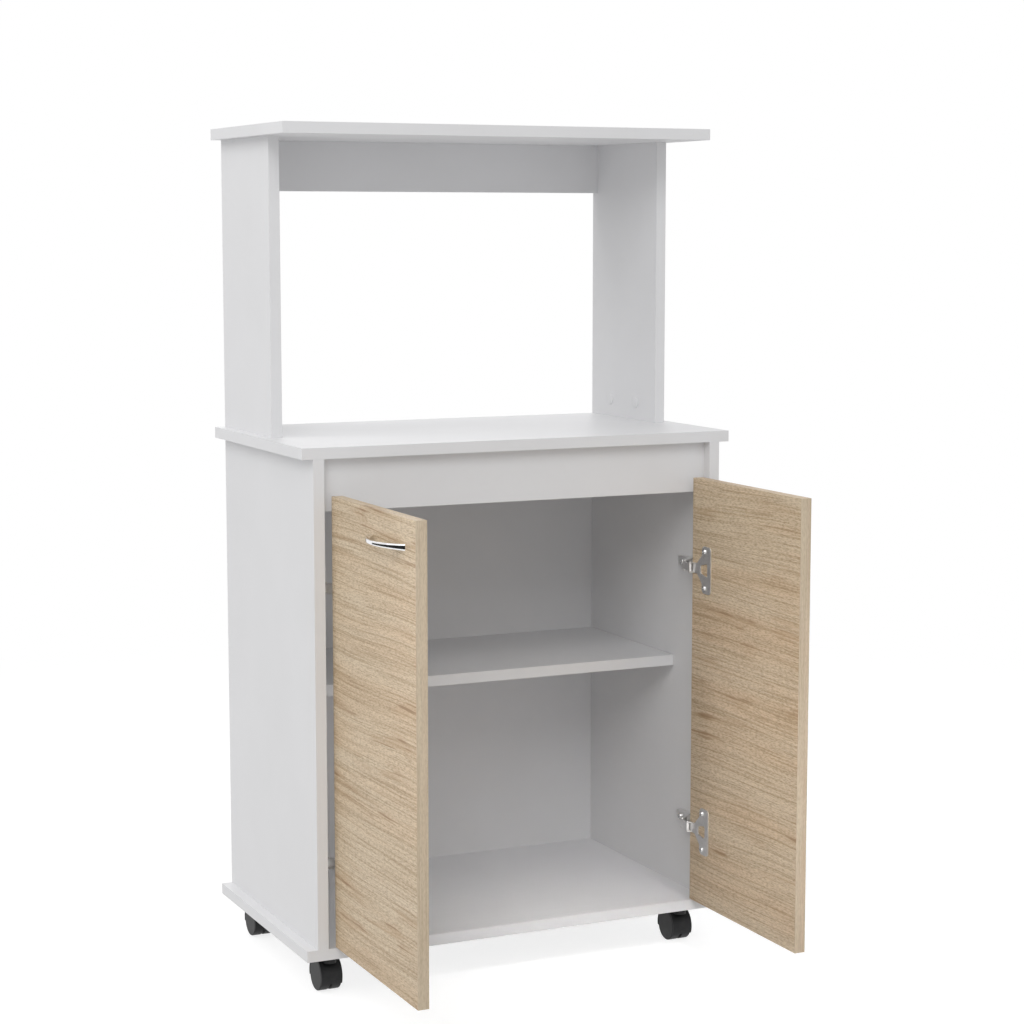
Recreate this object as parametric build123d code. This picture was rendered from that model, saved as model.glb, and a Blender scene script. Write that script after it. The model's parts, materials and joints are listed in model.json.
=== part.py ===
# Microwave cabinet on casters: a cupboard with two oak doors, an open bay above its worktop and a top shelf.
# Millimetres, +Z up, +Y towards the back. Both doors stand open, as they rest in the photograph.
# The origin is on the floor, under the middle of the outline with the doors open.
import os
from math import cos, hypot, radians, sin, sqrt

from build123d import *

# Boards
board = 15.0
carcass_width = 600.0
carcass_depth = 360.0
end_overhang = 15.0            # base, worktop and top shelf past the sides
side_height = 650.0
apron_height = 70.0
upright_depth = 200.0
upright_height = 402.0
rail_height = 70.0
top_depth = 300.0
back_board = 3.0
back_board_inset = 1.5         # from the carcass outline
shelf_depth = 262.0
shelf_level = 319.0            # shelf underside above the base
shelf_end_gap = 0.5

# Doors
door_board = 15.0
door_height = 600.0
door_bottom_gap = 1.5
door_side_gap = 2.7            # closed door to side panel
door_middle_gap = 2.6          # between the two closed doors
door_stop_gap = 0.8            # closed door to apron
door_open_gap = 10.0           # open door's outer face from the side panel's inner face
door_open_edge = 0.8           # open door's hinge edge behind the carcass front

# Hinges
upper_hinge_level = 476.5      # above the base
lower_hinge_level = 107.0
hinge_sheet = 1.5
link_length = 22.2             # between the two pins
link_sheet = 2.4               # flat of the link between its eyes
link_height = 10.8
link_eye = 2.6                 # radius round the pin
pin_radius = 1.25
pin_inset = 0.5                # door pin from the hinge edge
pin_standoff = 4.5             # door pin from the inner face
pin_head = 0.6
run_clearance = 0.05           # radial, where a piece turns on a pin
seat_clearance = 0.02          # radial, where a piece is held fast
side_clearance = 0.3           # between pieces that move past each other
arm_rise = 11.0                # arm's face from the side panel
arm_back = 67.0                # arm's rear end from the carcass front
arm_root = 40.0                # where the straight arm turns towards its pin
arm_eye = 3.2
arm_window_inset = 4.5         # end of the bent web from the pin
plate_sheet = 2.0
plate_front = 26.0
plate_back = 70.0
plate_wing_from_front = 34.5
plate_wing_width = 15.0
plate_screw_spacing = 32.0
plate_block_front = 46.0
plate_block_back = 65.0
block_clearance = 0.1
arm_screw_from_front = 55.5
wing_stem = 15.0               # length before the braces
wing_bar_start = 28.5          # distances from the door's hinge edge
wing_bar_end = 52.5
wing_bar_height = 66.0
wing_brace_height = 40.0
wing_window_start = 25.0
wing_window_end = 43.5
wing_window_height = 19.0
wing_window_neck = 11.0
wing_corner = 6.0
wing_window_corner = 3.0
wing_screw_from_edge = 35.0
wing_screw_spacing = 51.0
ear_length = 8.0

# Handles
handle_length = 117.0
handle_rise = 22.0
handle_waist = 4.5             # thickness at the crown of the bow
handle_height = 5.8            # at the crown
handle_foot_height = 8.8
handle_foot = 15.0
handle_edge = 2.0              # rounding along the bow
handle_screw_spacing = 96.0
handle_screw_grip = 4.5        # depth in the foot
handle_from_free_edge = 91.0
handle_below_top = 36.0

# Casters
caster_height = 58.5
caster_inset_x = 47.0          # swivel axis from the base's end
caster_inset_y = 43.5          # swivel axis from the base's front and back
caster_trail = 14.5            # axle behind the swivel axis
caster_width = 30.0
wheel_radius = 22.0
wheel_edge = 1.5               # rounding of the outer rim
wheel_inner_edge = 0.4
axle_radius = 2.5
axle_cap = 2.0                 # wheel left outside the axle's end
hood_wall = 1.5
hood_web = 3.0
hood_clearance = 0.3
hood_front_drop = 24.0         # degrees below the axle
hood_back_drop = 14.0
boss_radius = 9.0
boss_height = 15.0
kingpin_radius = 4.0
caster_plate = 38.0
caster_plate_sheet = 2.0
caster_plate_corner = 5.0
caster_screw_spacing = 28.0
swivel_gap = 0.5

# Fasteners
hole_clearance = 0.1           # radial, round screws, bolts, dowels and cams
confirmat_radius = 2.5
confirmat_head_radius = 4.5
confirmat_head = 4.0
confirmat_length = 48.0
base_screw_inset = 90.0
top_screw_inset = 50.0
cam_radius = 7.5
cam_depth = 12.5
cam_setback = 26.0             # cam axis from the joint
cam_bolt_radius = 3.0
cam_bolt_inset = 60.0
cam_bolt_bite = 10.0
dowel_radius = 4.0
dowel_length = 30.0
dowel_bite = 10.0
dowel_inset = 18.0
worktop_dowel_from_front = 60.0
peg_radius = 2.5
peg_bite = 8.0
peg_flange_radius = 4.5
peg_flange = 1.5
peg_tongue = 8.0
peg_tongue_height = 3.5
peg_inset = 40.0
wood_screw_radius = 1.75
wood_screw_bite = 10.0
wood_screw_head_radius = 3.5
wood_screw_crown_radius = 2.4
wood_screw_head = 2.0
machine_screw_radius = 2.0
machine_screw_head_radius = 4.0
machine_screw_head = 2.4
arm_screw_bite = 6.0

# Levels and lines worked out from the sizes above
base_bottom = caster_height
base_top = base_bottom + board
side_top = base_top + side_height
worktop_top = side_top + board
upright_top = worktop_top + upright_height
top_top = upright_top + board
half_width = carcass_width / 2
half_inner = half_width - board
half_long = half_width + end_overhang
side_middle = half_width - board / 2
apron_front = door_board + door_stop_gap
apron_back = apron_front + board
shelf_front = carcass_depth - shelf_depth
upright_front = carcass_depth - upright_depth
top_front = carcass_depth - top_depth
rail_front = carcass_depth - board

door_width = half_inner - door_side_gap - door_middle_gap / 2
door_bottom = base_top + door_bottom_gap
door_top = door_bottom + door_height
door_outer = door_open_gap
door_inner = door_outer + door_board      # open door's faces, from the side panel
hinge_edge = door_open_edge
free_edge = hinge_edge - door_width

# The arm's pin lies as far from the door's pin in its closed place as in its open place.
closed_pin_x = door_side_gap + pin_inset
closed_pin_y = door_board + pin_standoff
door_pin_x = door_inner + pin_standoff
door_pin_y = hinge_edge - pin_inset
half_x = (door_pin_x - closed_pin_x) / 2
half_y = (closed_pin_y - door_pin_y) / 2
pin_lead = sqrt(link_length ** 2 / (half_x ** 2 + half_y ** 2) - 1)
arm_pin_x = closed_pin_x + half_x + pin_lead * half_y
arm_pin_y = door_pin_y + half_y + pin_lead * half_x
hinge_levels = {"upper": base_top + upper_hinge_level, "lower": base_top + lower_hinge_level}
cheek_inner = link_height / 2 + side_clearance
cheek_outer = cheek_inner + hinge_sheet

caster_x = half_long - caster_inset_x
caster_rows = {"front": caster_inset_y, "rear": carcass_depth - caster_inset_y}
hood_radius = wheel_radius + hood_clearance + hood_wall
wheel_width = (caster_width - hood_web) / 2 - hood_clearance
plate_bottom = caster_height - caster_plate_sheet
boss_top = plate_bottom - swivel_gap

frame_shift = Pos(0, -(carcass_depth + back_board + free_edge) / 2, 0)


def block(x0, x1, y0, y1, z0, z1):
    return Pos((x0 + x1) / 2, (y0 + y1) / 2, (z0 + z1) / 2) * Box(x1 - x0, y1 - y0, z1 - z0)


def rod(start, direction, radius, length):
    bottom = (Align.CENTER, Align.CENTER, Align.MIN)
    return Plane(origin=start, z_dir=direction) * Cylinder(radius, length, align=bottom)


def cone(start, direction, radius, end_radius, length):
    bottom = (Align.CENTER, Align.CENTER, Align.MIN)
    return Plane(origin=start, z_dir=direction) * Cone(radius, end_radius, length, align=bottom)


def flat_head_screw(start, direction, radius, head_radius, head, length):
    return rod(start, direction, radius, length) + cone(start, direction, head_radius, radius, head)


def pan_head_screw(start, direction, length):
    outwards = tuple(-d for d in direction)
    head = cone(start, outwards, wood_screw_head_radius, wood_screw_crown_radius, wood_screw_head)
    return rod(start, direction, wood_screw_radius, length) + head


def screw_bore(start, direction):
    return rod(start, direction, wood_screw_radius + hole_clearance, wood_screw_bite + hole_clearance)


def both_sides(solids):
    return solids + [mirror(s, about=Plane.YZ) for s in solids]


def drill(solid, tools):
    for tool in tools:
        solid -= tool
    return solid


def save(node, solids):
    moved = [frame_shift * s for shape in solids for s in shape.solids()]
    export_step(moved[0] if len(moved) == 1 else Compound(moved), f"parts/{node}.step")


# Fasteners of the left half. Each rule gives the piece, or with a clearance the hole that takes it.

def confirmats(grow=0.0):
    radius = confirmat_radius + grow
    head_radius = confirmat_head_radius + grow
    rows = (base_screw_inset, carcass_depth / 2, carcass_depth - base_screw_inset)
    into_side = [flat_head_screw((-side_middle, y, base_bottom), (0, 0, 1), radius, head_radius,
                                 confirmat_head, confirmat_length + grow) for y in rows]
    rows = (upright_front + top_screw_inset, carcass_depth - top_screw_inset)
    into_upright = [flat_head_screw((-side_middle, y, top_top), (0, 0, -1), radius, head_radius,
                                    confirmat_head, confirmat_length + grow) for y in rows]
    return into_side + into_upright


cam_bolt_rows = (upright_front + cam_bolt_inset, carcass_depth - cam_bolt_inset)
apron_bolt_z = side_top - apron_height / 2
apron_middle = (apron_front + apron_back) / 2


def cam_bolts(grow=0.0):
    radius = cam_bolt_radius + grow
    length = board + 2 * (cam_setback + grow)
    through_worktop = [rod((-side_middle, y, side_top - cam_setback - grow), (0, 0, 1), radius, length)
                       for y in cam_bolt_rows]
    start = (-half_inner - cam_bolt_bite - grow, apron_middle, apron_bolt_z)
    into_apron = rod(start, (1, 0, 0), radius, cam_bolt_bite + cam_setback + 2 * grow)
    return through_worktop + [into_apron]


def cams(grow=0.0):
    radius = cam_radius + grow
    depth = cam_depth + grow
    levels = (side_top - cam_setback, worktop_top + cam_setback)
    in_sides = [rod((-half_inner, y, z), (-1, 0, 0), radius, depth) for y in cam_bolt_rows for z in levels]
    start = (-half_inner + cam_setback, apron_back, apron_bolt_z)
    return in_sides + [rod(start, (0, -1, 0), radius, depth)]


def dowels(grow=0.0):
    radius = dowel_radius + grow
    length = dowel_length + 2 * grow
    start_x = -half_inner - dowel_bite - grow
    rail_middle = (rail_front + carcass_depth) / 2
    rail_levels = (upright_top - rail_height + dowel_inset, upright_top - dowel_inset)
    apron_level = side_top - apron_height + dowel_inset
    in_rail = [rod((start_x, rail_middle, z), (1, 0, 0), radius, length) for z in rail_levels]
    in_apron = rod((start_x, apron_middle, apron_level), (1, 0, 0), radius, length)
    start = (-side_middle, worktop_dowel_from_front, side_top + dowel_bite + grow)
    return in_rail + [in_apron, rod(start, (0, 0, -1), radius, length)]


def peg_holes():
    rows = (shelf_front + peg_inset, carcass_depth - peg_inset)
    z = base_top + shelf_level - peg_flange_radius
    return [(-half_inner, y, z) for y in rows]


def pegs():
    made = []
    for x, y, z in peg_holes():
        pin = rod((x, y, z), (-1, 0, 0), peg_radius, peg_bite)
        flange = rod((x, y, z), (1, 0, 0), peg_flange_radius, peg_flange)
        top = base_top + shelf_level
        tongue = block(x, x + peg_flange + peg_tongue, y - peg_radius, y + peg_radius,
                       top - peg_tongue_height, top)
        made.append(pin + flange + tongue)
    return made


# Hinge pieces of the left door, measured from the side panel's face, the carcass front and the hinge's level.

def hinge_plate():
    middle = (plate_front + plate_back) / 2
    spine = Pos(0, middle) * SlotOverall(plate_back - plate_front, 2 * cheek_outer, rotation=90)
    wing_length = plate_screw_spacing + plate_wing_width
    upright = Plane(origin=(0, plate_wing_from_front, 0), x_dir=(0, 0, 1), z_dir=(1, 0, 0))
    wings = extrude(upright * SlotOverall(wing_length, plate_wing_width), plate_sheet)
    lying = Plane(origin=(0, 0, 0), x_dir=(0, 0, -1), z_dir=(1, 0, 0))
    base = extrude(lying * spine, plate_sheet)
    half = cheek_inner - block_clearance
    rib = block(plate_sheet, arm_rise - hinge_sheet, plate_block_front, plate_block_back, -half, half)
    bores = [rod((0, y, z), (1, 0, 0), wood_screw_radius + hole_clearance, plate_sheet)
             for y, z in hinge_plate_screw_places()]
    bores.append(arm_screw(hole_clearance))
    return drill(base + wings + rib, bores)


def hinge_plate_screw_places():
    return [(plate_wing_from_front, side * plate_screw_spacing / 2) for side in (-1, 1)]


def plate_screws():
    return [pan_head_screw((plate_sheet, y, z), (-1, 0, 0), plate_sheet + wood_screw_bite)
            for y, z in hinge_plate_screw_places()]


def arm_screw(grow=0.0):
    start = (arm_rise, arm_screw_from_front, 0)
    shank = rod(start, (-1, 0, 0), machine_screw_radius + grow, arm_screw_bite + grow)
    if grow:
        return shank
    return shank + cone(start, (1, 0, 0), machine_screw_head_radius, machine_screw_radius, machine_screw_head)


def arm_pin(grow=0.0):
    ends = cheek_outer + (pin_head if grow == 0 else 0)
    return rod((arm_pin_x, arm_pin_y, -ends), (0, 0, 1), pin_radius + grow, 2 * ends)


def door_pin(grow=0.0):
    ends = cheek_outer + (pin_head if grow == 0 else 0)
    return rod((door_pin_x, door_pin_y, -ends), (0, 0, 1), pin_radius + grow, 2 * ends)


def disc_at(x, y, radius):
    return Pos(x, y) * Circle(radius)


def hinge_arm():
    root_radius = (arm_rise - plate_sheet) / 2
    root_x = plate_sheet + root_radius
    ends = disc_at(root_x, arm_root, root_radius).edges() + disc_at(arm_pin_x, arm_pin_y, arm_eye).edges()
    lever = make_hull(ends)
    straight = Pos(root_x, (arm_root + arm_back) / 2) * Rectangle(2 * root_radius, arm_back - arm_root)
    cheek = extrude(lever + straight, hinge_sheet)
    cheeks = Pos(0, 0, cheek_inner) * cheek + Pos(0, 0, -cheek_outer) * cheek
    web = block(arm_rise - hinge_sheet, arm_rise, arm_root, arm_back, -cheek_outer, cheek_outer)
    run_x = arm_pin_x - root_x
    run_y = arm_pin_y - arm_root
    run = hypot(run_x, run_y)
    along = Plane(origin=(root_x, arm_root, 0), x_dir=(run_x, run_y, 0), z_dir=(0, 0, 1))
    bent = along * block(0, run - arm_window_inset, arm_eye - hinge_sheet, arm_eye, -cheek_outer, cheek_outer)
    return drill(cheeks + web + bent, [arm_pin(seat_clearance), arm_screw(hole_clearance)])


def hinge_link():
    eyes = disc_at(arm_pin_x, arm_pin_y, link_eye) + disc_at(door_pin_x, door_pin_y, link_eye)
    along = Plane(origin=(arm_pin_x, arm_pin_y, 0), x_dir=(door_pin_x - arm_pin_x, door_pin_y - arm_pin_y, 0),
                  z_dir=(0, 0, 1))
    half = link_height / 2
    rolled = extrude(eyes, half, both=True)
    flat = along * block(0, link_length, link_eye - link_sheet, link_eye, -half, half)
    return drill(rolled + flat, [arm_pin(run_clearance), door_pin(run_clearance)])


def wing_outline():
    half_bar = wing_bar_height / 2
    half_brace = wing_brace_height / 2
    upper = [(0, cheek_outer), (wing_stem, cheek_outer), (wing_bar_start, half_brace),
             (wing_bar_start, half_bar), (wing_bar_end, half_bar)]
    lower = [(s, -z) for s, z in reversed(upper)]
    leaf = make_face(Polyline(*upper, *lower, close=True))
    half_neck = wing_window_neck / 2
    half_window = wing_window_height / 2
    window = make_face(Polyline((wing_window_start, half_neck), (wing_window_end, half_window),
                                (wing_window_end, -half_window), (wing_window_start, -half_neck), close=True))
    corners = leaf.vertices().filter_by_position(Axis.X, wing_bar_start, wing_bar_end)
    outer = [v for v in corners if abs(v.Y) > half_brace + wing_corner]
    return fillet(outer, wing_corner) - fillet(window.vertices(), wing_window_corner)


def wing_screw_places():
    return [(hinge_edge - wing_screw_from_edge, side * wing_screw_spacing / 2) for side in (-1, 1)]


def wing_screws():
    return [pan_head_screw((door_inner + hinge_sheet, y, z), (-1, 0, 0), hinge_sheet + wood_screw_bite)
            for y, z in wing_screw_places()]


def hinge_wing():
    on_door = Plane(origin=(door_inner, hinge_edge, 0), x_dir=(0, -1, 0), z_dir=(1, 0, 0))
    leaf = extrude(on_door * wing_outline(), hinge_sheet)
    foot = Pos(door_inner + hinge_sheet / 2, hinge_edge - ear_length / 2) * Rectangle(hinge_sheet, ear_length)
    eye = disc_at(door_pin_x, door_pin_y, link_eye)
    ear = extrude(make_hull(foot.edges() + eye.edges()), hinge_sheet)
    ears = Pos(0, 0, cheek_inner) * ear + Pos(0, 0, -cheek_outer) * ear
    bores = [rod((door_inner, y, z), (1, 0, 0), wood_screw_radius + hole_clearance, hinge_sheet)
             for y, z in wing_screw_places()]
    return drill(leaf + ears, bores + [door_pin(seat_clearance)])


# Doors, in the carcass frame, with the left door's outer face towards the left.

outer_face = -half_inner + door_outer
inner_face = -half_inner + door_inner
handle_y = free_edge + handle_from_free_edge
handle_z = door_top - handle_below_top


def handle_screws(grow=0.0):
    length = door_board + handle_screw_grip + grow
    places = [handle_y + side * handle_screw_spacing / 2 for side in (-1, 1)]
    return [flat_head_screw((inner_face, y, handle_z), (-1, 0, 0), machine_screw_radius + grow,
                            machine_screw_head_radius + grow, machine_screw_head, length) for y in places]


def handle():
    half = handle_length / 2
    inner_half = half - handle_foot
    bow = ThreePointArc((0, -half), (handle_rise, 0), (0, half))
    hollow = ThreePointArc((0, inner_half), (handle_rise - handle_waist, 0), (0, -inner_half))
    outline = make_face([bow, Line((0, half), (0, inner_half)), hollow, Line((0, -inner_half), (0, -half))])
    tall = handle_foot_height / 2
    upper = ThreePointArc((-half, tall), (0, handle_height / 2), (half, tall))
    lower = ThreePointArc((half, -tall), (0, -handle_height / 2), (-half, -tall))
    ends = [Line((half, tall), (half, -tall)), Line((-half, -tall), (-half, tall))]
    flared = Plane.YZ * make_face([upper, ends[0], lower, ends[1]])
    bar = extrude(outline, tall, both=True) & extrude(flared, handle_rise)
    long_edges = [e for e in bar.edges() if e.length > handle_length / 2]
    bar = fillet(long_edges, handle_edge)
    on_door = Plane(origin=(outer_face, handle_y, handle_z), x_dir=(-1, 0, 0), z_dir=(0, 0, 1))
    return drill(on_door * bar, handle_screws(hole_clearance))


def door_panel():
    panel = block(outer_face, inner_face, free_edge, hinge_edge, door_bottom, door_top)
    bores = [screw_bore((inner_face, y, level + z), (-1, 0, 0))
             for level in hinge_levels.values() for y, z in wing_screw_places()]
    return drill(panel, bores + handle_screws(hole_clearance))


# Caster pieces, measured from the swivel axis at floor level, with the axle along X.

def along_axle(x0, x1, radius):
    return rod((x0, caster_trail, wheel_radius), (1, 0, 0), radius, x1 - x0)


def caster_screw_places():
    half = caster_screw_spacing / 2
    return [(x, y) for x in (-half, half) for y in (-half, half)]


def caster_mount():
    plate = extrude(RectangleRounded(caster_plate, caster_plate, caster_plate_corner), caster_plate_sheet)
    crown = wheel_radius + hood_radius
    kingpin = rod((0, 0, crown), (0, 0, 1), kingpin_radius, plate_bottom - crown)
    bores = [rod((x, y, plate_bottom), (0, 0, 1), wood_screw_radius + hole_clearance, caster_plate_sheet)
             for x, y in caster_screw_places()]
    return drill(Pos(0, 0, plate_bottom) * plate + kingpin, bores)


def caster_screws():
    return [pan_head_screw((x, y, plate_bottom), (0, 0, 1), caster_plate_sheet + wood_screw_bite)
            for x, y in caster_screw_places()]


def hood():
    half = caster_width / 2
    half_web = hood_web / 2
    barrel = along_axle(-half, half, hood_radius)
    boss = rod((0, 0, boss_top - boss_height), (0, 0, 1), boss_radius, boss_height)
    pocket = hood_radius - hood_wall
    body = drill(barrel + boss, [along_axle(-half, -half_web, pocket), along_axle(half_web, half, pocket)])
    front = (-hood_radius * cos(radians(hood_front_drop)), -hood_radius * sin(radians(hood_front_drop)))
    back = (hood_radius * cos(radians(hood_back_drop)), -hood_radius * sin(radians(hood_back_drop)))
    mouth = Plane(origin=(0, caster_trail + front[0], wheel_radius + front[1]),
                  x_dir=(0, back[0] - front[0], back[1] - front[1]), z_dir=(1, 0, 0))
    below = mouth * block(-hood_radius, 3 * hood_radius, -2 * hood_radius, 0, -half, half)
    king_depth = boss_top - wheel_radius - hood_radius + swivel_gap
    bore = rod((0, 0, boss_top - king_depth), (0, 0, 1), kingpin_radius + run_clearance, king_depth)
    return drill(body, [below, bore, along_axle(-half_web, half_web, axle_radius + seat_clearance)])


def axle():
    half = hood_web / 2 + hood_clearance + wheel_width - axle_cap
    return along_axle(-half, half, axle_radius)


def wheel():
    inner = hood_web / 2 + hood_clearance
    outer = inner + wheel_width
    disc = along_axle(inner, outer, wheel_radius)
    rims = disc.edges().filter_by(GeomType.CIRCLE).sort_by(Axis.X)
    disc = fillet(rims[-1], wheel_edge)
    disc = chamfer(disc.edges().filter_by(GeomType.CIRCLE).sort_by(Axis.X)[0], wheel_inner_edge)
    bore = along_axle(inner, outer - axle_cap + side_clearance, axle_radius + run_clearance)
    return drill(disc, [bore])


# Panels

os.makedirs("parts", exist_ok=True)

joint_holes = [hole for pieces in (confirmats, cam_bolts, cams, dowels) for hole in pieces(hole_clearance)]
peg_bores = [rod(p, (-1, 0, 0), peg_radius + hole_clearance, peg_bite + hole_clearance) for p in peg_holes()]
hinge_bores = [screw_bore((-half_inner, y, level + z), (-1, 0, 0))
               for level in hinge_levels.values() for y, z in hinge_plate_screw_places()]
caster_places = {row: (-caster_x, y) for row, y in caster_rows.items()}
caster_bores = [screw_bore((cx + x, cy + y, base_bottom), (0, 0, 1))
                for cx, cy in caster_places.values() for x, y in caster_screw_places()]

left_side = drill(block(-half_width, -half_inner, 0, carcass_depth, base_top, side_top),
                  joint_holes + peg_bores + hinge_bores)
left_upright = drill(block(-half_width, -half_inner, upright_front, carcass_depth, worktop_top, upright_top),
                     joint_holes)
save("left_side_panel", [left_side])
save("right_side_panel", [mirror(left_side, about=Plane.YZ)])
save("left_upright", [left_upright])
save("right_upright", [mirror(left_upright, about=Plane.YZ)])

across = both_sides(joint_holes)
base = block(-half_long, half_long, 0, carcass_depth, base_bottom, base_top)
save("base_panel", [drill(base, across + both_sides(caster_bores))])
save("worktop", [drill(block(-half_long, half_long, 0, carcass_depth, side_top, worktop_top), across)])
top_board = block(-half_long, half_long, top_front, carcass_depth, upright_top, top_top)
save("top_shelf", [drill(top_board, across)])
apron = block(-half_inner, half_inner, apron_front, apron_back, side_top - apron_height, side_top)
save("front_apron", [drill(apron, across)])
rail = block(-half_inner, half_inner, rail_front, carcass_depth, upright_top - rail_height, upright_top)
save("upper_back_rail", [drill(rail, across)])
shelf_half = half_inner - shelf_end_gap
shelf_bottom = base_top + shelf_level
save("inner_shelf", [block(-shelf_half, shelf_half, shelf_front, carcass_depth,
                           shelf_bottom, shelf_bottom + board)])
back_half = half_width - back_board_inset
save("back_panel", [block(-back_half, back_half, carcass_depth, carcass_depth + back_board,
                          base_bottom + back_board_inset, worktop_top - back_board_inset)])

# Hidden fasteners
save("panel_screws", both_sides(confirmats()))
save("cam_bolts", both_sides(cam_bolts()))
save("cam_locks", both_sides([drill(c, cam_bolts(hole_clearance)) for c in cams()]))
save("wood_dowels", both_sides(dowels()))
save("shelf_pegs", both_sides(pegs()))

# Hinges and doors
left_hinges = {level: Pos(-half_inner, 0, z) for level, z in hinge_levels.items()}
pieces = {"hinge_arm": hinge_arm(), "hinge_link": hinge_link(), "hinge_wing": hinge_wing()}
for side in ("left", "right"):
    place = (lambda s: s) if side == "left" else (lambda s: mirror(s, about=Plane.YZ))
    for level, spot in left_hinges.items():
        for name, piece in pieces.items():
            save(f"{side}_{level}_{name}", [place(spot * piece)])
    save(f"{side}_hinge_plates", [place(spot * hinge_plate()) for spot in left_hinges.values()])
    save(f"{side}_door_pins", [place(spot * door_pin()) for spot in left_hinges.values()])
    save(f"{side}_wing_screws", [place(spot * s) for spot in left_hinges.values() for s in wing_screws()])
    save(f"{side}_door_panel", [place(door_panel())])
    save(f"{side}_handle", [place(handle())])
    save(f"{side}_handle_screws", [place(s) for s in handle_screws()])
hinge_screws = [spot * s for spot in left_hinges.values() for s in plate_screws() + [arm_screw()]]
save("hinge_screws", both_sides(hinge_screws))
save("hinge_arm_pins", both_sides([spot * arm_pin() for spot in left_hinges.values()]))

# Casters
mounts = []
mount_screws = []
for row, (_, y) in caster_places.items():
    for side, x in (("left", -caster_x), ("right", caster_x)):
        spot = Pos(x, y, 0)
        name = f"{row}_{side}_caster"
        mounts.append(spot * caster_mount())
        mount_screws += [spot * s for s in caster_screws()]
        save(f"{name}_hood", [spot * hood()])
        save(f"{name}_axle", [spot * axle()])
        save(f"{name}_right_wheel", [spot * wheel()])
        save(f"{name}_left_wheel", [spot * mirror(wheel(), about=Plane.YZ)])
save("caster_plates", mounts)
save("caster_plate_screws", mount_screws)
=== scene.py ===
import json
import math
import bpy
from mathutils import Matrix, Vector


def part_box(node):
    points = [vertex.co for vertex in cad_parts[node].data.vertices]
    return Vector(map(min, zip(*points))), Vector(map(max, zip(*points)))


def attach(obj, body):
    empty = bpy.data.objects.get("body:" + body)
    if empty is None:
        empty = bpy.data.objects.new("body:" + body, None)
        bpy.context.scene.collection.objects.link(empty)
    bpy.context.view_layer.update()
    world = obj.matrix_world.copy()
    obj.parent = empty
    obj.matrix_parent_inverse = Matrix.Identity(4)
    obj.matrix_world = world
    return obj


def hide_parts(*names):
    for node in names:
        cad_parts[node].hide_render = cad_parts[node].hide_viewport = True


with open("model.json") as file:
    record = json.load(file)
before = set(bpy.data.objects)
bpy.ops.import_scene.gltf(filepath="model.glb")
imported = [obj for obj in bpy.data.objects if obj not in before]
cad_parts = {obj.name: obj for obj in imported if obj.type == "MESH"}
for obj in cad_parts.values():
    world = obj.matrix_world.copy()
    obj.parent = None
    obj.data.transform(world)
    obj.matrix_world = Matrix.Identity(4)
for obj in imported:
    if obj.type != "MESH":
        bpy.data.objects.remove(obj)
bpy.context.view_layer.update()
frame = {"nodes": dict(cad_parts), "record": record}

nodes = frame["nodes"]
bpy.ops.object.select_all(action="DESELECT")
print("frame loaded,", len(nodes), "nodes")


def newMaterial(name):
    mat = bpy.data.materials.new(name)
    mat.use_nodes = True
    tree = mat.node_tree
    shader = tree.nodes["Principled BSDF"]
    return mat, tree, shader


def addNode(tree, kind, **settings):
    node = tree.nodes.new(kind)
    for key, value in settings.items():
        setattr(node, key, value)
    return node


def stretched(tree, point, scale, turn=(0, 0, 0)):
    mapping = addNode(tree, "ShaderNodeMapping")
    mapping.inputs["Scale"].default_value = scale
    mapping.inputs["Rotation"].default_value = turn
    tree.links.new(point, mapping.inputs["Vector"])
    return mapping.outputs["Vector"]


def objectPoint(tree, scale=(1, 1, 1)):
    coord = addNode(tree, "ShaderNodeTexCoord")
    return stretched(tree, coord.outputs["Object"], scale)


def noise(tree, point, scale, detail=3.0, roughness=0.5, distortion=0.0):
    node = addNode(tree, "ShaderNodeTexNoise")
    node.inputs["Scale"].default_value = scale
    node.inputs["Detail"].default_value = detail
    node.inputs["Roughness"].default_value = roughness
    node.inputs["Distortion"].default_value = distortion
    tree.links.new(point, node.inputs["Vector"])
    return node.outputs["Fac"]


def ramp(tree, value, stops):
    node = addNode(tree, "ShaderNodeValToRGB")
    edge = node.color_ramp.elements
    while len(edge) < len(stops):
        edge.new(0.5)
    for spot, (place, colour) in zip(edge, stops):
        spot.position = place
        spot.color = (*colour, 1) if isinstance(colour, tuple) else (colour, colour, colour, 1)
    tree.links.new(value, node.inputs["Fac"])
    return node.outputs["Color"]


def spread(tree, value, low, high):
    node = addNode(tree, "ShaderNodeMapRange")
    node.inputs["To Min"].default_value = low
    node.inputs["To Max"].default_value = high
    tree.links.new(value, node.inputs["Value"])
    return node.outputs["Result"]


def mixColour(tree, amount, first, second, blend="MIX"):
    node = addNode(tree, "ShaderNodeMix", data_type="RGBA", blend_type=blend)
    for socket, value in ((node.inputs[0], amount), (node.inputs[6], first), (node.inputs[7], second)):
        if isinstance(value, (int, float)):
            socket.default_value = value
        elif isinstance(value, tuple):
            socket.default_value = (*value, 1)
        else:
            tree.links.new(value, socket)
    return node.outputs[2]


def sums(tree, operation, first, second):
    node = addNode(tree, "ShaderNodeMath", operation=operation)
    for socket, value in zip(node.inputs, (first, second)):
        if isinstance(value, (int, float)):
            socket.default_value = value
        else:
            tree.links.new(value, socket)
    return node.outputs[0]


def bump(tree, shader, height, strength, distance, edge=0.0):
    node = addNode(tree, "ShaderNodeBump")
    if edge:
        soft = addNode(tree, "ShaderNodeBevel", samples=6)
        soft.inputs["Radius"].default_value = edge
        tree.links.new(soft.outputs["Normal"], node.inputs["Normal"])
    node.inputs["Strength"].default_value = strength
    node.inputs["Distance"].default_value = distance
    tree.links.new(height, node.inputs["Height"])
    tree.links.new(node.outputs["Normal"], shader.inputs["Normal"])


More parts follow.
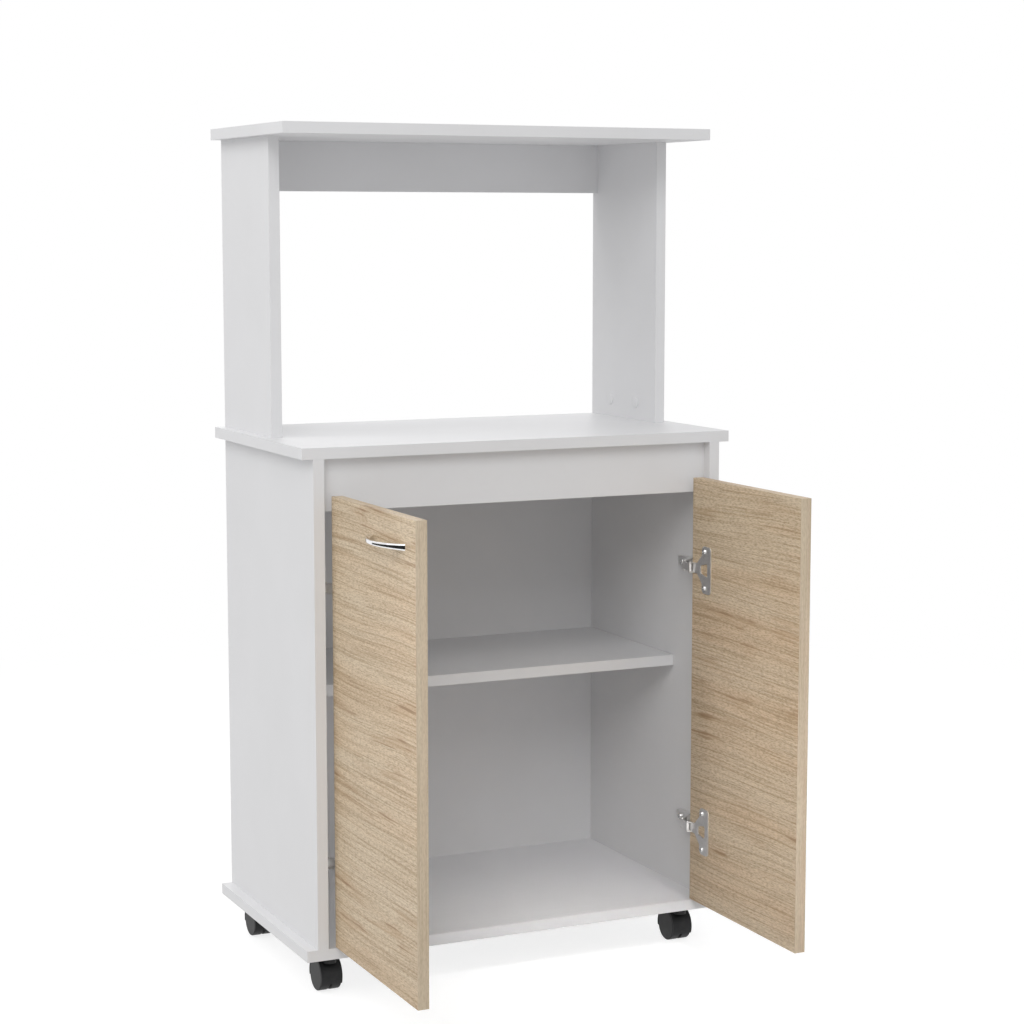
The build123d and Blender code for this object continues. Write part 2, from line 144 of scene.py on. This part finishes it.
# white melamine: faint cloudiness, a fine pearl texture and the small round of the edge bands
whiteBoard = {"pale": (0.80, 0.80, 0.812), "dull": (0.765, 0.765, 0.775), "cloud": 4.0, "pearl": 1400.0,
              "gloss": (0.42, 0.56), "shine": 0.35, "relief": 0.06, "reliefDepth": 0.0002, "round": 0.0005}


def whiteTone(tree, point):
    cloud = noise(tree, point, whiteBoard["cloud"], 4.0, 0.6)
    return ramp(tree, cloud, [(0.3, whiteBoard["dull"]), (0.7, whiteBoard["pale"])])


def makeWhiteBoard():
    mat, tree, shader = newMaterial("whiteMelamine")
    point = objectPoint(tree)
    tree.links.new(whiteTone(tree, point), shader.inputs["Base Color"])
    pearl = noise(tree, point, whiteBoard["pearl"], 2.0)
    tree.links.new(spread(tree, pearl, *whiteBoard["gloss"]), shader.inputs["Roughness"])
    shader.inputs["Specular IOR Level"].default_value = whiteBoard["shine"]
    bump(tree, shader, pearl, whiteBoard["relief"], whiteBoard["reliefDepth"], whiteBoard["round"])
    return mat


# oak decor: bands of tone and lines drawn out along the grain, a sandy speckle, brown flecks with dark cracks in them,
# and a plain upright grain on the edge band
oakDoor = {"light": (0.738, 0.624, 0.468), "mid": (0.704, 0.583, 0.424), "peach": (0.712, 0.574, 0.409),
           "warm": (0.651, 0.512, 0.352), "line": (0.91, 0.88, 0.845), "comb": (0.77, 0.715, 0.65),
           "fibre": (0.68, 0.625, 0.56), "fleck": (0.470, 0.310, 0.175), "crack": (0.290, 0.170, 0.085),
           "pore": (0.360, 0.240, 0.140), "fleckDepth": 0.40, "crackDepth": 0.80, "poreDepth": 0.50,
           "sway": 0.014, "turn": 0.6, "tape": (0.59, 0.50, 0.38), "tapeShare": 0.55, "band": 0.0007,
           "gloss": (0.40, 0.56), "shine": 0.35, "relief": 0.12, "reliefDepth": 0.0003, "round": 0.0005}
# repeats per metre, along and across the grain
oakScale = {"sway": (2.2, 5.0), "band": (1.6, 26.0), "line": (3.5, 130.0), "comb": (5.0, 470.0),
            "fibre": (150.0, 900.0), "patch": (3.0, 14.0), "fleck": (9.0, 62.0), "crack": (7.0, 260.0),
            "pore": (20.0, 560.0)}


def oakGrain(tree, along, across):
    def lengthened(point, mark):
        lengthwise, crosswise = oakScale[mark]
        scale, turn = [crosswise] * 3, [0.0] * 3
        scale[along] = lengthwise
        turn[along] = oakDoor["turn"]
        return stretched(tree, point, tuple(scale), tuple(turn))
    point = objectPoint(tree)
    sway = noise(tree, lengthened(point, "sway"), 1.0, 1.0)
    push = addNode(tree, "ShaderNodeCombineXYZ")
    tree.links.new(spread(tree, sway, -oakDoor["sway"], oakDoor["sway"]), push.inputs[across])
    flow = addNode(tree, "ShaderNodeVectorMath", operation="ADD")
    tree.links.new(point, flow.inputs[0])
    tree.links.new(push.outputs[0], flow.inputs[1])

    def drawn(mark, detail=2.0):
        return noise(tree, lengthened(flow.outputs[0], mark), 1.0, detail)

    def shaded(colour, value, mark, dark, clear):
        tone = ramp(tree, value, [(dark, oakDoor[mark]), (clear, (1, 1, 1))])
        return mixColour(tree, 1.0, colour, tone, "MULTIPLY")

    def stained(colour, share, mark):
        return mixColour(tree, sums(tree, "MULTIPLY", share, oakDoor[mark + "Depth"]), colour, oakDoor[mark])
    bands = [(0.30, oakDoor["warm"]), (0.40, oakDoor["peach"]), (0.50, oakDoor["mid"]), (0.66, oakDoor["light"])]
    colour = ramp(tree, drawn("band", 4.0), bands)
    colour = shaded(colour, drawn("line"), "line", 0.36, 0.53)
    colour = shaded(colour, drawn("comb"), "comb", 0.36, 0.53)
    fibres = drawn("fibre")
    colour = shaded(colour, fibres, "fibre", 0.32, 0.58)
    patch = ramp(tree, drawn("patch"), [(0.40, 0.0), (0.52, 1.0)])
    flecks = sums(tree, "MULTIPLY", ramp(tree, drawn("fleck"), [(0.35, 1.0), (0.46, 0.0)]), patch)
    cracks = sums(tree, "MULTIPLY", ramp(tree, drawn("crack"), [(0.39, 1.0), (0.44, 0.0)]), flecks)
    pores = ramp(tree, drawn("pore"), [(0.28, 1.0), (0.34, 0.0)])
    for share, mark in ((flecks, "fleck"), (cracks, "crack"), (pores, "pore")):
        colour = stained(colour, share, mark)
    return colour, fibres


def makeOakDoor(name, door):
    mat, tree, shader = newMaterial(name)
    face, faceFibres = oakGrain(tree, 1, 2)  # grain along Y on the faces
    edge = oakGrain(tree, 2, 1)[0]  # and along Z on the edge band
    split = addNode(tree, "ShaderNodeSeparateXYZ")
    tree.links.new(objectPoint(tree), split.inputs[0])
    low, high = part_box(door)
    nearFree = sums(tree, "LESS_THAN", split.outputs["Y"], low.y + oakDoor["band"])
    nearHinge = sums(tree, "GREATER_THAN", split.outputs["Y"], high.y - oakDoor["band"])
    banded = sums(tree, "MAXIMUM", nearFree, nearHinge)
    edge = mixColour(tree, oakDoor["tapeShare"], edge, oakDoor["tape"])
    colour = mixColour(tree, banded, face, edge)
    tree.links.new(colour, shader.inputs["Base Color"])
    tree.links.new(spread(tree, faceFibres, *oakDoor["gloss"]), shader.inputs["Roughness"])
    shader.inputs["Specular IOR Level"].default_value = oakDoor["shine"]
    bump(tree, shader, faceFibres, oakDoor["relief"], oakDoor["reliefDepth"], oakDoor["round"])
    return mat


# pressed nickel, chrome, zinc
metalFinish = {"nickel": {"tone": (0.86, 0.85, 0.84), "gloss": (0.24, 0.38), "wear": 260.0, "round": 0.0006},
               "chrome": {"tone": (0.90, 0.90, 0.91), "gloss": (0.03, 0.07), "wear": 40.0, "round": 0.0},
               "zinc": {"tone": (0.80, 0.80, 0.80), "gloss": (0.18, 0.30), "wear": 420.0, "round": 0.0},
               "wornShare": 0.86, "relief": 0.03, "reliefDepth": 0.0002}


def makeMetal(name, metal):
    look = metalFinish[metal]
    mat, tree, shader = newMaterial(name)
    shader.inputs["Metallic"].default_value = 1.0
    point = objectPoint(tree)
    worn = noise(tree, point, look["wear"], 4.0, 0.6)
    darker = tuple(metalFinish["wornShare"] * c for c in look["tone"])
    tree.links.new(ramp(tree, worn, [(0.3, darker), (0.62, look["tone"])]), shader.inputs["Base Color"])
    tree.links.new(spread(tree, worn, *look["gloss"]), shader.inputs["Roughness"])
    bump(tree, shader, worn, metalFinish["relief"], metalFinish["reliefDepth"], look["round"])
    return mat


# moulded black nylon
blackNylon = {"base": (0.009, 0.009, 0.010), "rubbed": (0.018, 0.018, 0.019), "rub": 60.0, "spark": 1600.0,
              "gloss": (0.40, 0.56), "shine": 0.30, "relief": 0.10, "reliefDepth": 0.0002}


def makeBlackNylon():
    mat, tree, shader = newMaterial("blackNylon")
    point = objectPoint(tree)
    rub = noise(tree, point, blackNylon["rub"], 4.0, 0.6)
    colour = ramp(tree, rub, [(0.4, blackNylon["base"]), (0.75, blackNylon["rubbed"])])
    tree.links.new(colour, shader.inputs["Base Color"])
    spark = noise(tree, point, blackNylon["spark"], 2.0)
    tree.links.new(spread(tree, spark, *blackNylon["gloss"]), shader.inputs["Roughness"])
    shader.inputs["Specular IOR Level"].default_value = blackNylon["shine"]
    bump(tree, shader, spark, blackNylon["relief"], blackNylon["reliefDepth"])
    return mat


# raw fibreboard on the outside of the back, white foil inside
backBoard = {"light": (0.52, 0.40, 0.28), "dark": (0.41, 0.30, 0.20), "clump": 38.0, "fibre": 900.0, "foil": 0.0004,
             "gloss": (0.5, 0.72), "relief": 0.10, "reliefDepth": 0.0002}


def makeBackBoard(node):
    mat, tree, shader = newMaterial("fibreBack")
    point = objectPoint(tree)
    clump = noise(tree, point, backBoard["clump"], 6.0, 0.7)
    raw = ramp(tree, clump, [(0.3, backBoard["dark"]), (0.7, backBoard["light"])])
    split = addNode(tree, "ShaderNodeSeparateXYZ")
    tree.links.new(point, split.inputs[0])
    outside = sums(tree, "GREATER_THAN", split.outputs["Y"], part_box(node)[0].y + backBoard["foil"])
    tree.links.new(mixColour(tree, outside, whiteTone(tree, point), raw), shader.inputs["Base Color"])
    fibre = noise(tree, point, backBoard["fibre"], 3.0)
    tree.links.new(spread(tree, fibre, *backBoard["gloss"]), shader.inputs["Roughness"])
    bump(tree, shader, fibre, backBoard["relief"], backBoard["reliefDepth"])
    return mat


# raw beech dowels
beechDowel = {"dark": (0.50, 0.34, 0.20), "light": (0.62, 0.45, 0.29), "fleck": (400, 400, 60), "gloss": (0.5, 0.7)}


def makeBeech():
    mat, tree, shader = newMaterial("rawBeech")
    fleck = noise(tree, objectPoint(tree, beechDowel["fleck"]), 1.0, 3.0)
    colour = ramp(tree, fleck, [(0.3, beechDowel["dark"]), (0.7, beechDowel["light"])])
    tree.links.new(colour, shader.inputs["Base Color"])
    tree.links.new(spread(tree, fleck, *beechDowel["gloss"]), shader.inputs["Roughness"])
    return mat


finish = {"white_board": makeWhiteBoard(), "hinge_metal": makeMetal("nickelSheet", "nickel"),
          "handle_metal": makeMetal("handleChrome", "chrome"), "caster_plastic": makeBlackNylon(),
          "fastener_steel": makeMetal("zincSteel", "zinc"), "beech_dowel": makeBeech()}
oakFinish = {side: makeOakDoor(side + "OakDecor", side + "_door_panel") for side in ("left", "right")}
print("finishes made")


def dress(obj, mat):
    obj.data.materials.clear()
    obj.data.materials.append(mat)


for part in frame["record"]["subparts"]:
    name = part["node"]
    if name.endswith("door_panel"):
        dress(nodes[name], oakFinish[name.split("_")[0]])
    elif name == "back_panel":
        dress(nodes[name], makeBackBoard(name))
    else:
        dress(nodes[name], finish[part["material_slot"]])
print("nodes dressed")


def startMesh(name, adder, **size):
    bpy.ops.object.select_all(action="DESELECT")
    adder(**size)
    obj = bpy.context.object
    obj.name = name
    obj.data.name = name
    return obj


def pickFaces(obj, wanted):
    bpy.ops.object.mode_set(mode="EDIT")
    bpy.ops.mesh.select_mode(type="FACE")
    bpy.ops.mesh.select_all(action="DESELECT")
    bpy.ops.object.mode_set(mode="OBJECT")
    for face in obj.data.polygons:
        face.select = wanted(face)
    bpy.ops.object.mode_set(mode="EDIT")


def placeAll(obj, spots, facing, name):
    made = []
    for number, spot in enumerate(spots):
        copy = obj.copy()
        copy.data = obj.data.copy()
        copy.name = f"{name}{number + 1}"
        bpy.context.scene.collection.objects.link(copy)
        copy.rotation_mode = "QUATERNION"
        copy.rotation_quaternion = Vector((0, 0, 1)).rotation_difference(Vector(facing))
        copy.location = spot
        made.append(copy)
    bpy.ops.object.select_all(action="DESELECT")
    for copy in made:
        copy.select_set(True)
    bpy.context.view_layer.objects.active = made[0]
    bpy.ops.object.transform_apply(location=True, rotation=True, scale=True)
    bpy.ops.object.select_all(action="DESELECT")
    return made


def removeModel(obj):
    bpy.data.objects.remove(obj)


# thin domed cover caps for cams and long screws
coverCap = {"camRadius": 0.0086, "screwRadius": 0.0065, "rise": 0.0011, "crown": 0.0005, "camInset": 0.060,
            "camOffset": 0.026, "apronDrop": 0.035, "screwInset": 0.050}


def modelCap(radius):
    cap = startMesh("capModel", bpy.ops.mesh.primitive_cylinder_add, vertices=40, radius=radius,
                    depth=coverCap["rise"], location=(0, 0, coverCap["rise"] / 2))
    bpy.ops.object.transform_apply(location=True)
    pickFaces(cap, lambda face: face.normal.z > 0.9)
    bpy.ops.mesh.inset(thickness=radius * 0.10, depth=0)
    bpy.ops.transform.translate(value=(0, 0, coverCap["crown"] * 0.6))
    bpy.ops.mesh.inset(thickness=radius * 0.35, depth=0)
    bpy.ops.transform.translate(value=(0, 0, coverCap["crown"] * 0.4))
    bpy.ops.object.mode_set(mode="OBJECT")
    bpy.ops.object.shade_smooth_by_angle(angle=math.radians(40))
    return cap


sideLow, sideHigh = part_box("left_side_panel")
upLow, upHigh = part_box("left_upright")
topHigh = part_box("top_shelf")[1]
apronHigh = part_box("front_apron")[1]
camRows = (upLow.y + coverCap["camInset"], upHigh.y - coverCap["camInset"])
camLevels = (sideHigh.z - coverCap["camOffset"], upLow.z + coverCap["camOffset"])
camCap = modelCap(coverCap["camRadius"])
caps = placeAll(camCap, [(sideHigh.x, y, z) for y in camRows for z in camLevels], (1, 0, 0), "leftCamCap")
caps += placeAll(camCap, [(-sideHigh.x, y, z) for y in camRows for z in camLevels], (-1, 0, 0), "rightCamCap")
apronX, apronZ = apronHigh.x - coverCap["camOffset"], sideHigh.z - coverCap["apronDrop"]
apronSpots = [(side * apronX, apronHigh.y, apronZ) for side in (-1, 1)]
caps += placeAll(camCap, apronSpots, (0, 1, 0), "apronCamCap")
removeModel(camCap)
screwCap = modelCap(coverCap["screwRadius"])
screwX = (sideLow.x + sideHigh.x) / 2
screwRows = (upLow.y + coverCap["screwInset"], upHigh.y - coverCap["screwInset"])
capSpots = [(side * screwX, y, topHigh.z) for side in (-1, 1) for y in screwRows]
caps += placeAll(screwCap, capSpots, (0, 0, 1), "topScrewCap")
removeModel(screwCap)
for cap in caps:
    dress(cap, finish["white_board"])
    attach(cap, "carcass")
print("cover caps placed,", len(caps))

# oak-coloured discs over the handle screws, inside the doors
handleCap = {"radius": 0.0048, "rise": 0.0004, "rim": 0.0004, "crown": 0.0001, "spacing": 0.096}


def modelHandleCap():
    disc = startMesh("discModel", bpy.ops.mesh.primitive_cylinder_add, vertices=36, radius=handleCap["radius"],
                     depth=handleCap["rise"], location=(0, 0, handleCap["rise"] / 2))
    bpy.ops.object.transform_apply(location=True)
    pickFaces(disc, lambda face: face.normal.z > 0.9)
    bpy.ops.mesh.inset(thickness=handleCap["rim"], depth=0)
    bpy.ops.transform.translate(value=(0, 0, handleCap["crown"]))
    bpy.ops.object.mode_set(mode="OBJECT")
    bpy.ops.object.shade_smooth_by_angle(angle=math.radians(40))
    return disc


for side, facing in (("left", 1), ("right", -1)):
    panelLow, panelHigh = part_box(side + "_door_panel")
    barLow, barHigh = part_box(side + "_handle")
    middle = (barLow + barHigh) / 2
    inside = panelHigh.x if side == "left" else panelLow.x
    disc = modelHandleCap()
    spots = [(inside, middle.y + k * handleCap["spacing"] / 2, middle.z) for k in (-1, 1)]
    for cap in placeAll(disc, spots, (facing, 0, 0), side + "HandleCap"):
        dress(cap, oakFinish[side])
        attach(cap, side + "_door")
    removeModel(disc)
print("handle caps placed")

# pan-head screws with a cross recess, in place of the plain ones
crossScrew = {"head": 0.0035, "rise": 0.0020, "shank": 0.0017, "reach": 0.0115, "slot": 0.0013, "slotSpan": 0.0048,
              "slotDepth": 0.0014, "clear": 0.001, "wingThick": 0.0015, "wingSetback": 0.0350, "wingPitch": 0.0255,
              "plateThick": 0.002, "plateSetback": 0.0345, "platePitch": 0.016}
setScrew = {"head": 0.0040, "rise": 0.0024, "shank": 0.0019, "reach": 0.0055, "armHeight": 0.011, "setback": 0.0555}


def modelScrew(kind):
    head, rise, shank, reach = kind["head"], kind["rise"], kind["shank"], kind["reach"]
    screw = startMesh("screwModel", bpy.ops.mesh.primitive_cylinder_add, vertices=32, radius=head, depth=rise,
                      location=(0, 0, rise / 2))
    bpy.ops.object.transform_apply(location=True)
    pickFaces(screw, lambda face: face.normal.z > 0.9)
    bpy.ops.mesh.bevel(offset=rise * 0.45, segments=4, affect="EDGES", profile=0.5)
    bpy.ops.object.mode_set(mode="OBJECT")
    pickFaces(screw, lambda face: face.normal.z < -0.9)
    bpy.ops.mesh.inset(thickness=head - shank, depth=0)
    bpy.ops.mesh.extrude_region_move(TRANSFORM_OT_translate={"value": (0, 0, -reach)})
    bpy.ops.object.mode_set(mode="OBJECT")
    cutter = startMesh("crossModel", bpy.ops.mesh.primitive_cube_add, size=1.0,
                       location=(0, 0, rise - crossScrew["slotDepth"] / 2 + crossScrew["clear"]))
    cutter.scale = (crossScrew["slotSpan"], crossScrew["slot"], crossScrew["slotDepth"] + 2 * crossScrew["clear"])
    bpy.ops.object.transform_apply(location=True, scale=True)
    for turned in (False, True):
        cut = screw.modifiers.new("recess", "BOOLEAN")
        cut.operation = "DIFFERENCE"
        cut.solver = "EXACT"
        cut.object = cutter
        if turned:
            cutter.rotation_euler.z = math.pi / 2
            bpy.context.view_layer.update()
        bpy.context.view_layer.objects.active = screw
        bpy.ops.object.modifier_apply(modifier="recess")
    removeModel(cutter)
    bpy.ops.object.select_all(action="DESELECT")
    screw.select_set(True)
    bpy.context.view_layer.objects.active = screw
    bpy.ops.object.shade_smooth_by_angle(angle=math.radians(35))
    return screw


def joinPieces(pieces, name):
    bpy.ops.object.select_all(action="DESELECT")
    for piece in pieces:
        piece.select_set(True)
    bpy.context.view_layer.objects.active = pieces[0]
    bpy.ops.object.join()
    joined = bpy.context.object
    joined.name = name
    joined.data.name = name
    return joined


woodScrew = modelScrew(crossScrew)
for side, facing in (("left", 1), ("right", -1)):
    spots = []
    for level in ("upper", "lower"):
        wingLow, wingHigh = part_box(f"{side}_{level}_hinge_wing")
        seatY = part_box(side + "_door_panel")[1].y - crossScrew["wingSetback"]
        seatX = (wingLow.x if side == "left" else wingHigh.x) + facing * crossScrew["wingThick"]
        centre = (wingLow.z + wingHigh.z) / 2
        spots += [(seatX, seatY, centre + k * crossScrew["wingPitch"]) for k in (-1, 1)]
    screws = joinPieces(placeAll(woodScrew, spots, (facing, 0, 0), side + "Screw"), side + "WingScrews")
    dress(screws, finish["fastener_steel"])
    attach(screws, side + "_door")
    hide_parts(side + "_wing_screws")
armScrew = modelScrew(setScrew)
fixed = []
for side, facing in (("left", 1), ("right", -1)):
    plateLow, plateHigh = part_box(side + "_hinge_plates")
    wall = plateLow.x if side == "left" else plateHigh.x
    for level in ("upper", "lower"):
        armLow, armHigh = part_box(f"{side}_{level}_hinge_arm")
        centre = (armLow.z + armHigh.z) / 2
        plateX, plateY = wall + facing * crossScrew["plateThick"], sideLow.y + crossScrew["plateSetback"]
        plateSpots = [(plateX, plateY, centre + k * crossScrew["platePitch"]) for k in (-1, 1)]
        armSpot = (wall + facing * setScrew["armHeight"], sideLow.y + setScrew["setback"], centre)
        fixed += placeAll(woodScrew, plateSpots, (facing, 0, 0), side + level + "PlateScrew")
        fixed += placeAll(armScrew, [armSpot], (facing, 0, 0), side + level + "ArmScrew")
removeModel(woodScrew)
removeModel(armScrew)
fixed = joinPieces(fixed, "hingeScrews")
dress(fixed, finish["fastener_steel"])
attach(fixed, "carcass")
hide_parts("hinge_screws")
print("hinge screws placed")

# tacks that hold the back
backTack = {"radius": 0.0024, "rise": 0.0007, "rim": 0.0008, "crown": 0.0002, "inset": 0.008, "pitch": 0.105}


def modelTack():
    tack = startMesh("tackModel", bpy.ops.mesh.primitive_cylinder_add, vertices=16, radius=backTack["radius"],
                     depth=backTack["rise"], location=(0, 0, backTack["rise"] / 2))
    bpy.ops.object.transform_apply(location=True)
    pickFaces(tack, lambda face: face.normal.z > 0.9)
    bpy.ops.mesh.inset(thickness=backTack["rim"], depth=0)
    bpy.ops.transform.translate(value=(0, 0, backTack["crown"]))
    bpy.ops.object.mode_set(mode="OBJECT")
    bpy.ops.object.shade_smooth_by_angle(angle=math.radians(50))
    return tack


backLow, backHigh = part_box("back_panel")
left, right = backLow.x + backTack["inset"], backHigh.x - backTack["inset"]
low, high = backLow.z + backTack["inset"], backHigh.z - backTack["inset"]
columns = round((right - left) / backTack["pitch"])
rows = round((high - low) / backTack["pitch"])
spots = [(left + (right - left) * k / columns, backHigh.y, z) for k in range(columns + 1) for z in (low, high)]
spots += [(x, backHigh.y, low + (high - low) * k / rows) for k in range(1, rows) for x in (left, right)]
tack = modelTack()
tacks = joinPieces(placeAll(tack, spots, (0, 1, 0), "tack"), "backTacks")
removeModel(tack)
dress(tacks, finish["fastener_steel"])
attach(tacks, "carcass")
print("back tacks placed,", len(spots))

# pale floor that fades into the white surround and keeps a soft shadow
studio = {"floorSize": 24.0, "floorTone": 0.34, "floorGlow": 0.80, "bounceTone": 0.70, "fadeFrom": 0.9, "fadeTo": 2.6,
          "floorLevel": -0.0004, "surround": 0.58}


def seenRays(tree):
    ray = addNode(tree, "ShaderNodeLightPath")
    mirrored = sums(tree, "MAXIMUM", ray.outputs["Is Camera Ray"], ray.outputs["Is Glossy Ray"])
    return sums(tree, "MAXIMUM", mirrored, ray.outputs["Is Transmission Ray"])


def makeFloor():
    floor = startMesh("floor", bpy.ops.mesh.primitive_plane_add, size=studio["floorSize"],
                      location=(0, 0, studio["floorLevel"]))
    mat = bpy.data.materials.new("paleFloor")
    mat.use_nodes = True
    tree = mat.node_tree
    tree.nodes.clear()
    out = addNode(tree, "ShaderNodeOutputMaterial")
    reach = addNode(tree, "ShaderNodeVectorMath", operation="LENGTH")
    tree.links.new(objectPoint(tree), reach.inputs[0])
    fade = addNode(tree, "ShaderNodeMapRange", interpolation_type="SMOOTHSTEP")
    fade.inputs["From Min"].default_value = studio["fadeFrom"]
    fade.inputs["From Max"].default_value = studio["fadeTo"]
    tree.links.new(reach.outputs["Value"], fade.inputs["Value"])
    soft = addNode(tree, "ShaderNodeBsdfDiffuse")
    soft.inputs["Color"].default_value = (studio["floorTone"],) * 3 + (1,)
    glow = addNode(tree, "ShaderNodeEmission")
    glow.inputs["Strength"].default_value = studio["floorGlow"]
    near = addNode(tree, "ShaderNodeAddShader")
    tree.links.new(soft.outputs[0], near.inputs[0])
    tree.links.new(glow.outputs[0], near.inputs[1])
    white = addNode(tree, "ShaderNodeEmission")
    shown = addNode(tree, "ShaderNodeMixShader")
    tree.links.new(fade.outputs["Result"], shown.inputs[0])
    tree.links.new(near.outputs[0], shown.inputs[1])
    tree.links.new(white.outputs[0], shown.inputs[2])
    bounce = addNode(tree, "ShaderNodeBsdfDiffuse")
    bounce.inputs["Color"].default_value = (studio["bounceTone"],) * 3 + (1,)
    both = addNode(tree, "ShaderNodeMixShader")
    tree.links.new(seenRays(tree), both.inputs[0])
    tree.links.new(bounce.outputs[0], both.inputs[1])
    tree.links.new(shown.outputs[0], both.inputs[2])
    tree.links.new(both.outputs[0], out.inputs["Surface"])
    dress(floor, mat)


def makeSurround():
    world = bpy.data.worlds.new("studioSurround")
    bpy.context.scene.world = world
    world.use_nodes = True
    tree = world.node_tree
    shade = tree.nodes["Background"]
    shade.inputs["Color"].default_value = (1, 1, 1, 1)
    tree.links.new(sums(tree, "MAXIMUM", seenRays(tree), studio["surround"]), shade.inputs["Strength"])


# two large softboxes, a fill from behind, and two small lamps with grids for the inside and the right door
lamps = [{"name": "keySoftbox", "place": (-2.5, -4.2, 4.2), "aim": (0, 0, 0.6),
          "size": 3.0, "power": 108, "spread": 180},
         {"name": "leftSoftbox", "place": (-3.9, 0.4, 3.7), "aim": (0, 0, 0.6),
          "size": 3.0, "power": 51, "spread": 180},
         {"name": "lowGrid", "place": (0.0, -1.8, 2.0), "aim": (0.08, -0.10, 0.02),
          "size": 0.4, "power": 0.22, "spread": 10},
         {"name": "doorGrid", "place": (-2.2, -1.3, 1.5), "aim": (0.30, -0.24, 0.28),
          "size": 0.4, "power": 0.125, "spread": 10},
         {"name": "backFill", "place": (0.8, 3.4, 2.4), "aim": (0, 0, 0.6),
          "size": 2.6, "power": 18, "spread": 180}]

# a dark card on the left that only the bright metal mirrors
darkCard = {"near": -3.6, "far": 6.0, "side": -3.0, "level": 0.42, "nearHeight": 0.80, "farHeight": 0.14,
            "farShift": (0.8, 0, -0.3), "felt": 40.0, "dark": 0.010, "worn": 0.020, "rough": 0.9}


def makeDarkCard():
    card = startMesh("darkCard", bpy.ops.mesh.primitive_plane_add, size=2.0)
    low, high = darkCard["near"], darkCard["far"]
    card.rotation_euler = (math.pi / 2, 0, math.pi / 2)
    card.scale = ((high - low) / 2, darkCard["nearHeight"] / 2, 1)
    card.location = (darkCard["side"], (low + high) / 2, darkCard["level"])
    bpy.ops.object.transform_apply(location=True, rotation=True, scale=True)
    bpy.ops.object.mode_set(mode="EDIT")
    bpy.ops.mesh.select_mode(type="VERT")
    bpy.ops.mesh.select_all(action="DESELECT")
    bpy.ops.object.mode_set(mode="OBJECT")
    for corner in card.data.vertices:
        corner.select = corner.co.y > 0
    bpy.ops.object.mode_set(mode="EDIT")
    bpy.ops.transform.resize(value=(1, 1, darkCard["farHeight"] / darkCard["nearHeight"]))
    bpy.ops.transform.translate(value=darkCard["farShift"])
    bpy.ops.object.mode_set(mode="OBJECT")
    mat, tree, shader = newMaterial("darkFelt")
    felt = noise(tree, objectPoint(tree), darkCard["felt"], 3.0)
    tree.links.new(ramp(tree, felt, [(0.3, darkCard["dark"]), (0.7, darkCard["worn"])]), shader.inputs["Base Color"])
    shader.inputs["Roughness"].default_value = darkCard["rough"]
    dress(card, mat)
    card.visible_camera = False
    card.visible_diffuse = False
    card.visible_shadow = False


def makeLamps():
    for lamp in lamps:
        bpy.ops.object.light_add(type="AREA", location=lamp["place"])
        light = bpy.context.object
        light.name = lamp["name"]
        light.data.shape = "SQUARE"
        light.data.size = lamp["size"]
        light.data.energy = lamp["power"]
        light.data.spread = math.radians(lamp["spread"])
        light.rotation_mode = "QUATERNION"
        light.rotation_quaternion = (Vector(lamp["aim"]) - light.location).to_track_quat("-Z", "Y")


# the photograph's viewpoint
viewpoint = {"place": (-1.3405, -2.8747, 1.0231), "pitch": 6.96, "yaw": 25.02, "lens": 82.70}


def makeCamera():
    turn = (math.radians(90 - viewpoint["pitch"]), 0, math.radians(-viewpoint["yaw"]))
    bpy.ops.object.camera_add(location=viewpoint["place"], rotation=turn)
    camera = bpy.context.object
    camera.data.lens = viewpoint["lens"]
    camera.data.sensor_width = 36.0
    camera.data.clip_end = 60.0
    bpy.context.scene.camera = camera


makeFloor()
makeSurround()
makeLamps()
makeDarkCard()
makeCamera()
bpy.context.scene.view_settings.view_transform = "Standard"
print("studio set")
